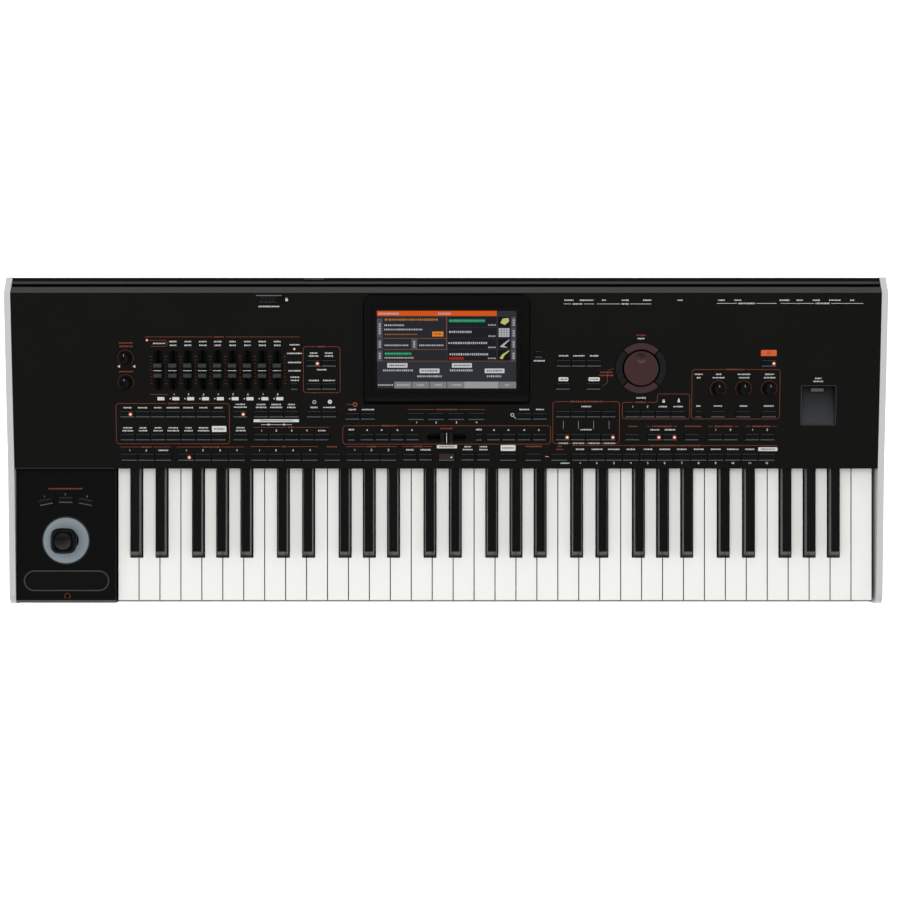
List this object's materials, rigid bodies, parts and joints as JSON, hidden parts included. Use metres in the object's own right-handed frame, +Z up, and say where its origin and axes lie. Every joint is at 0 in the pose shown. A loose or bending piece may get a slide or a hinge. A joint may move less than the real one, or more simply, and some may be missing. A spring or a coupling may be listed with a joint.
{
  "type": "arranger keyboard",
  "caption": "Full-size arranger keyboard with a tilting screen, sliders, knobs, value dial, rows of push buttons, joystick and ribbon.",
  "frame": {"origin": "on the floor under the middle of the case", "axes": "+X to the player's right along the keys, +Y to the rear, +Z up"},
  "size_m": [0.978, 0.3654, 0.1299],
  "materials": {
    "panel_paint": "satin black paint",
    "case_black": "fine textured black paint",
    "cheek_silver": "satin silver",
    "joystick_black": "fine moulded grain",
    "key_white": "semi-gloss ivory white",
    "key_black": "satin black",
    "button_black": "satin dark grey",
    "fader_black": "satin black",
    "knob_black": "soft black",
    "dial_burgundy": "semi-gloss burgundy",
    "dish_grey": "light blue grey",
    "ribbon_black": "smooth film",
    "display_black": "satin black",
    "screen_face": "glossy screen",
    "well_black": "moulded black",
    "socket_black": "moulded black",
    "foot_rubber": "matt rubber",
    "bare_steel": "plated steel",
    "board_green": "lacquered board"
  },
  "bodies": {
    "case": {"bottom_case": "case_black", "control_panel": "panel_paint", "rear_panel": "case_black", "left_cheek": "cheek_silver", "right_cheek": "cheek_silver", "joystick_panel": "joystick_black", "front_rail": "case_black", "keybed_frame": "bare_steel", "key_springs": "bare_steel", "contact_board": "board_green", "panel_board": "board_green", "main_board": "board_green", "power_supply": "bare_steel", "display_cradle": "well_black", "joystick_base": "dish_grey", "ribbon_strip": "ribbon_black", "usb_well": "well_black", "rear_sockets": "socket_black", "rubber_feet": "foot_rubber", "case_screws": "bare_steel"},
    "c_keys": {"c_keys": "key_white"},
    "d_keys": {"d_keys": "key_white"},
    "e_keys": {"e_keys": "key_white"},
    "f_keys": {"f_keys": "key_white"},
    "g_keys": {"g_keys": "key_white"},
    "a_keys": {"a_keys": "key_white"},
    "b_keys": {"b_keys": "key_white"},
    "c_sharp_keys": {"c_sharp_keys": "key_black"},
    "d_sharp_keys": {"d_sharp_keys": "key_black"},
    "f_sharp_keys": {"f_sharp_keys": "key_black"},
    "g_sharp_keys": {"g_sharp_keys": "key_black"},
    "a_sharp_keys": {"a_sharp_keys": "key_black"},
    "style_buttons": {"style_buttons": "button_black"},
    "player_buttons": {"player_buttons": "button_black"},
    "keyboard_buttons": {"keyboard_buttons": "button_black"},
    "arranger_buttons": {"arranger_buttons": "button_black"},
    "arrow_buttons": {"arrow_buttons": "button_black"},
    "display_unlock_button": {"display_unlock_button": "button_black"},
    "assign_switches": {"assign_switches": "button_black"},
    "fader_1": {"fader_1": "fader_black"},
    "fader_2": {"fader_2": "fader_black"},
    "fader_3": {"fader_3": "fader_black"},
    "fader_4": {"fader_4": "fader_black"},
    "fader_5": {"fader_5": "fader_black"},
    "fader_6": {"fader_6": "fader_black"},
    "fader_7": {"fader_7": "fader_black"},
    "fader_8": {"fader_8": "fader_black"},
    "fader_9": {"fader_9": "fader_black"},
    "crossfader": {"crossfader": "fader_black"},
    "volume_knob": {"volume_knob": "knob_black"},
    "balance_knob": {"balance_knob": "knob_black"},
    "effect_knob_1": {"effect_knob_1": "knob_black"},
    "effect_knob_2": {"effect_knob_2": "knob_black"},
    "effect_knob_3": {"effect_knob_3": "knob_black"},
    "value_dial": {"value_dial": "dial_burgundy"},
    "joystick_gimbal": {"joystick_gimbal": "socket_black"},
    "joystick_stick": {"joystick_stick": "joystick_black"},
    "display": {"display_housing": "display_black", "display_screen": "screen_face"},
    "speaker_lock_slider": {"speaker_lock_slider": "button_black"}
  },
  "joints": [
    {"name": "display_tilt", "type": "hinge", "parent": "case", "child": "display", "pos_m": [0.00069, 0.05258, 0.10542], "axis": [1, 0, 0], "range_deg": [0, 50]},
    {"name": "joystick_side_tilt", "type": "hinge", "parent": "case", "child": "joystick_gimbal", "pos_m": [-0.42597, -0.11107, 0.071], "axis": [0, 1, 0], "range_deg": [-15, 15], "stiffness_Nm_per_rad": 0.1},
    {"name": "joystick_front_tilt", "type": "hinge", "parent": "joystick_gimbal", "child": "joystick_stick", "pos_m": [-0.42597, -0.11107, 0.071], "axis": [1, 0, 0], "range_deg": [-15, 15], "stiffness_Nm_per_rad": 0.1},
    {"name": "value_dial_turn", "type": "hinge", "parent": "case", "child": "value_dial", "pos_m": [0.21647, 0.08123, 0.11473], "axis": [0, -0.1132, 0.9936], "continuous": true},
    {"name": "volume_knob_turn", "type": "hinge", "parent": "case", "child": "volume_knob", "pos_m": [-0.35574, 0.09248, 0.11601], "axis": [0, -0.1132, 0.9936], "range_deg": [-150, 150]},
    {"name": "balance_knob_turn", "type": "hinge", "parent": "case", "child": "balance_knob", "pos_m": [-0.35574, 0.06531, 0.11291], "axis": [0, -0.1132, 0.9936], "range_deg": [-150, 150]},
    {"name": "effect_knob_1_turn", "type": "hinge", "parent": "case", "child": "effect_knob_1", "pos_m": [0.30245, 0.05848, 0.11213], "axis": [0, -0.1132, 0.9936], "range_deg": [-150, 150]},
    {"name": "effect_knob_2_turn", "type": "hinge", "parent": "case", "child": "effect_knob_2", "pos_m": [0.33076, 0.05848, 0.11213], "axis": [0, -0.1132, 0.9936], "range_deg": [-150, 150]},
    {"name": "effect_knob_3_turn", "type": "hinge", "parent": "case", "child": "effect_knob_3", "pos_m": [0.35908, 0.05848, 0.11213], "axis": [0, -0.1132, 0.9936], "range_deg": [-150, 150]},
    {"name": "speaker_lock_slide", "type": "slide", "parent": "case", "child": "speaker_lock_slider", "axis": [1, 0, 0], "range_m": [0, 0.008]},
    {"name": "crossfader_slide", "type": "slide", "parent": "case", "child": "crossfader", "axis": [1, 0, 0], "range_m": [-0.015, 0.015]},
    {"name": "fader_1_slide", "type": "slide", "parent": "case", "child": "fader_1", "axis": [0, 0.9936, 0.1132], "range_m": [-0.015, 0.015]},
    {"name": "fader_2_slide", "type": "slide", "parent": "case", "child": "fader_2", "axis": [0, 0.9936, 0.1132], "range_m": [-0.015, 0.015]},
    {"name": "fader_3_slide", "type": "slide", "parent": "case", "child": "fader_3", "axis": [0, 0.9936, 0.1132], "range_m": [-0.015, 0.015]},
    {"name": "fader_4_slide", "type": "slide", "parent": "case", "child": "fader_4", "axis": [0, 0.9936, 0.1132], "range_m": [-0.015, 0.015]},
    {"name": "fader_5_slide", "type": "slide", "parent": "case", "child": "fader_5", "axis": [0, 0.9936, 0.1132], "range_m": [-0.015, 0.015]},
    {"name": "fader_6_slide", "type": "slide", "parent": "case", "child": "fader_6", "axis": [0, 0.9936, 0.1132], "range_m": [-0.015, 0.015]},
    {"name": "fader_7_slide", "type": "slide", "parent": "case", "child": "fader_7", "axis": [0, 0.9936, 0.1132], "range_m": [-0.015, 0.015]},
    {"name": "fader_8_slide", "type": "slide", "parent": "case", "child": "fader_8", "axis": [0, 0.9936, 0.1132], "range_m": [-0.015, 0.015]},
    {"name": "fader_9_slide", "type": "slide", "parent": "case", "child": "fader_9", "axis": [0, 0.9936, 0.1132], "range_m": [-0.015, 0.015]},
    {"name": "style_buttons_press", "type": "slide", "parent": "case", "child": "style_buttons", "axis": [0, 0.1132, -0.9936], "range_m": [0, 0.0008], "stiffness_N_per_m": 2000, "springref_m": -0.001},
    {"name": "player_buttons_press", "type": "slide", "parent": "case", "child": "player_buttons", "axis": [0, 0.1132, -0.9936], "range_m": [0, 0.0008], "stiffness_N_per_m": 2000, "springref_m": -0.001},
    {"name": "keyboard_buttons_press", "type": "slide", "parent": "case", "child": "keyboard_buttons", "axis": [0, 0.1132, -0.9936], "range_m": [0, 0.0008], "stiffness_N_per_m": 2000, "springref_m": -0.001},
    {"name": "arranger_buttons_press", "type": "slide", "parent": "case", "child": "arranger_buttons", "axis": [0, 0.1132, -0.9936], "range_m": [0, 0.0008], "stiffness_N_per_m": 2000, "springref_m": -0.001},
    {"name": "arrow_buttons_press", "type": "slide", "parent": "case", "child": "arrow_buttons", "axis": [0, 0.1132, -0.9936], "range_m": [0, 0.0008], "stiffness_N_per_m": 400, "springref_m": -0.001},
    {"name": "display_unlock_button_press", "type": "slide", "parent": "case", "child": "display_unlock_button", "axis": [0, 0.1132, -0.9936], "range_m": [0, 0.0008], "stiffness_N_per_m": 400, "springref_m": -0.001},
    {"name": "assign_switches_press", "type": "slide", "parent": "case", "child": "assign_switches", "axis": [0, 0, -1], "range_m": [0, 0.0008], "stiffness_N_per_m": 400, "springref_m": -0.001},
    {"name": "c_key_press", "type": "hinge", "parent": "case", "child": "c_keys", "pos_m": [0, 0.01453, 0.077], "axis": [1, 0, 0], "range_deg": [0, 3], "stiffness_Nm_per_rad": 3, "springref_deg": -11.46},
    {"name": "d_key_press", "type": "hinge", "parent": "case", "child": "d_keys", "pos_m": [0, 0.01453, 0.077], "axis": [1, 0, 0], "range_deg": [0, 3], "stiffness_Nm_per_rad": 3, "springref_deg": -11.46},
    {"name": "e_key_press", "type": "hinge", "parent": "case", "child": "e_keys", "pos_m": [0, 0.01453, 0.077], "axis": [1, 0, 0], "range_deg": [0, 3], "stiffness_Nm_per_rad": 3, "springref_deg": -11.46},
    {"name": "f_key_press", "type": "hinge", "parent": "case", "child": "f_keys", "pos_m": [0, 0.01453, 0.077], "axis": [1, 0, 0], "range_deg": [0, 3], "stiffness_Nm_per_rad": 3, "springref_deg": -11.46},
    {"name": "g_key_press", "type": "hinge", "parent": "case", "child": "g_keys", "pos_m": [0, 0.01453, 0.077], "axis": [1, 0, 0], "range_deg": [0, 3], "stiffness_Nm_per_rad": 3, "springref_deg": -11.46},
    {"name": "a_key_press", "type": "hinge", "parent": "case", "child": "a_keys", "pos_m": [0, 0.01453, 0.077], "axis": [1, 0, 0], "range_deg": [0, 3], "stiffness_Nm_per_rad": 3, "springref_deg": -11.46},
    {"name": "b_key_press", "type": "hinge", "parent": "case", "child": "b_keys", "pos_m": [0, 0.01453, 0.077], "axis": [1, 0, 0], "range_deg": [0, 3], "stiffness_Nm_per_rad": 3, "springref_deg": -11.46},
    {"name": "c_sharp_key_press", "type": "hinge", "parent": "case", "child": "c_sharp_keys", "pos_m": [0, 0.01453, 0.077], "axis": [1, 0, 0], "range_deg": [0, 3], "stiffness_Nm_per_rad": 3, "springref_deg": -11.46},
    {"name": "d_sharp_key_press", "type": "hinge", "parent": "case", "child": "d_sharp_keys", "pos_m": [0, 0.01453, 0.077], "axis": [1, 0, 0], "range_deg": [0, 3], "stiffness_Nm_per_rad": 3, "springref_deg": -11.46},
    {"name": "f_sharp_key_press", "type": "hinge", "parent": "case", "child": "f_sharp_keys", "pos_m": [0, 0.01453, 0.077], "axis": [1, 0, 0], "range_deg": [0, 3], "stiffness_Nm_per_rad": 3, "springref_deg": -11.46},
    {"name": "g_sharp_key_press", "type": "hinge", "parent": "case", "child": "g_sharp_keys", "pos_m": [0, 0.01453, 0.077], "axis": [1, 0, 0], "range_deg": [0, 3], "stiffness_Nm_per_rad": 3, "springref_deg": -11.46},
    {"name": "a_sharp_key_press", "type": "hinge", "parent": "case", "child": "a_sharp_keys", "pos_m": [0, 0.01453, 0.077], "axis": [1, 0, 0], "range_deg": [0, 3], "stiffness_Nm_per_rad": 3, "springref_deg": -11.46}
  ]
}
